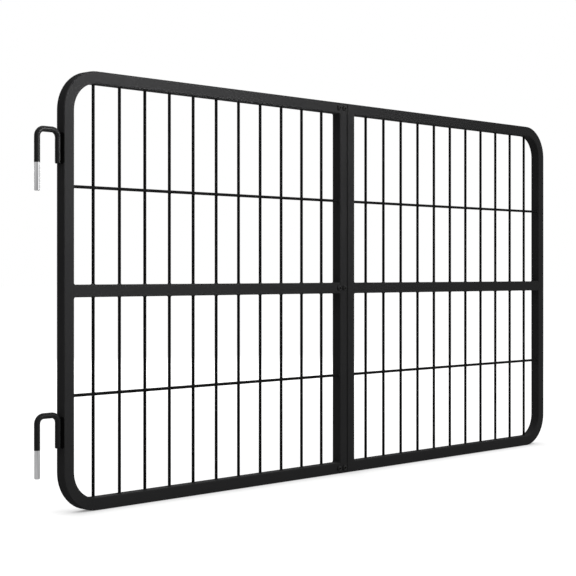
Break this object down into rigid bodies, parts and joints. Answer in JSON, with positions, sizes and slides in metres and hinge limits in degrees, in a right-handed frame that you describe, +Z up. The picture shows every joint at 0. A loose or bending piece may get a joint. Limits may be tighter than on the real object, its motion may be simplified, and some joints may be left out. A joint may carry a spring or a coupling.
{
  "type": "horse stall gate",
  "caption": "Black steel stall gate: square-tube frame with rounded corners and a spliced middle seam, wire mesh infill and lift-off hinge hooks.",
  "frame": {"origin": "on the common axis of the two hinge pins, at the middle of the lower pin's bare length; the depth middle of the frame tube lies on the same plane", "axes": "+X across the gate from the hinge side to the free end, +Y from the front to the back, +Z up"},
  "size_m": [1.3689, 0.023, 0.698],
  "materials": {
    "black_coat": "satin black powder coat on steel",
    "black_screw": "black oxide steel"
  },
  "bodies": {
    "root": {"bottom_splice_sleeve": "black_coat", "left_frame_tube": "black_coat", "left_meeting_stile": "black_coat", "left_middle_rail": "black_coat", "lower_hinge_hook": "black_coat", "lower_left_cross_wire": "black_coat", "lower_left_wire_01": "black_coat", "lower_left_wire_02": "black_coat", "lower_left_wire_03": "black_coat", "lower_left_wire_04": "black_coat", "lower_left_wire_05": "black_coat", "lower_left_wire_06": "black_coat", "lower_left_wire_07": "black_coat", "lower_left_wire_08": "black_coat", "lower_left_wire_09": "black_coat", "lower_left_wire_10": "black_coat", "lower_left_wire_11": "black_coat", "lower_right_cross_wire": "black_coat", "lower_right_wire_01": "black_coat", "lower_right_wire_02": "black_coat", "lower_right_wire_03": "black_coat", "lower_right_wire_04": "black_coat", "lower_right_wire_05": "black_coat", "lower_right_wire_06": "black_coat", "lower_right_wire_07": "black_coat", "lower_right_wire_08": "black_coat", "lower_right_wire_09": "black_coat", "lower_right_wire_10": "black_coat", "lower_right_wire_11": "black_coat", "middle_splice_sleeve": "black_coat", "right_frame_tube": "black_coat", "right_meeting_stile": "black_coat", "right_middle_rail": "black_coat", "splice_screws": "black_screw", "top_splice_sleeve": "black_coat", "upper_hinge_hook": "black_coat", "upper_left_cross_wire": "black_coat", "upper_left_wire_01": "black_coat", "upper_left_wire_02": "black_coat", "upper_left_wire_03": "black_coat", "upper_left_wire_04": "black_coat", "upper_left_wire_05": "black_coat", "upper_left_wire_06": "black_coat", "upper_left_wire_07": "black_coat", "upper_left_wire_08": "black_coat", "upper_left_wire_09": "black_coat", "upper_left_wire_10": "black_coat", "upper_left_wire_11": "black_coat", "upper_right_cross_wire": "black_coat", "upper_right_wire_01": "black_coat", "upper_right_wire_02": "black_coat", "upper_right_wire_03": "black_coat", "upper_right_wire_04": "black_coat", "upper_right_wire_05": "black_coat", "upper_right_wire_06": "black_coat", "upper_right_wire_07": "black_coat", "upper_right_wire_08": "black_coat", "upper_right_wire_09": "black_coat", "upper_right_wire_10": "black_coat", "upper_right_wire_11": "black_coat"}
  },
  "joints": []
}
